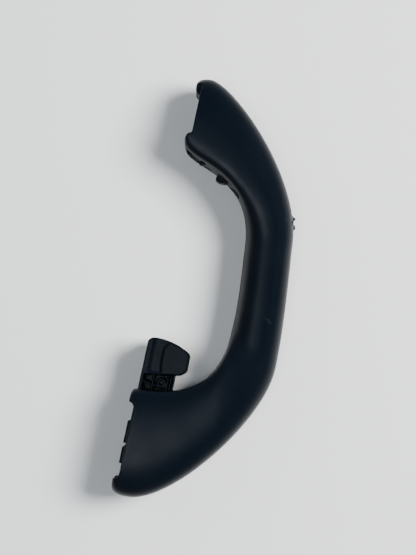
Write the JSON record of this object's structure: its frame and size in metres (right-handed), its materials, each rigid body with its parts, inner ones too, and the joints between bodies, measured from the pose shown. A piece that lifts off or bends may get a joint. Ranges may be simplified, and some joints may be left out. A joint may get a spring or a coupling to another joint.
{
  "type": "roof grab handle",
  "caption": "Arched vehicle roof grab handle with two hollow feet, screw inserts and hinged screw covers, one standing open.",
  "frame": {"origin": "centre of the handle's outline, on the surface that it lies on", "axes": "+X away from the roof that the feet meet, +Y along the handle towards the short upper foot, +Z across its width, up from the side it lies on"},
  "size_m": [0.0678, 0.2121, 0.03],
  "materials": {
    "shell_black": "soft matt navy black, fine moulded grain",
    "cover_black": "matt black with polished edges",
    "insert_black": "matt black"
  },
  "bodies": {
    "body": {"handle_body": "shell_black", "lower_insert": "insert_black", "upper_insert": "insert_black"},
    "lower_cover": {"lower_cover": "cover_black"},
    "upper_cover": {"upper_cover": "cover_black"}
  },
  "joints": [
    {"name": "lower_cover_hinge", "type": "hinge", "parent": "body", "child": "lower_cover", "pos_m": [-0.0259, -0.0576, 0.015], "axis": [0, 0, 1], "range_deg": [-76, 0]},
    {"name": "upper_cover_hinge", "type": "hinge", "parent": "body", "child": "upper_cover", "pos_m": [-0.0259, 0.0722, 0.015], "axis": [0, 0, 1], "range_deg": [-62, 0]}
  ]
}
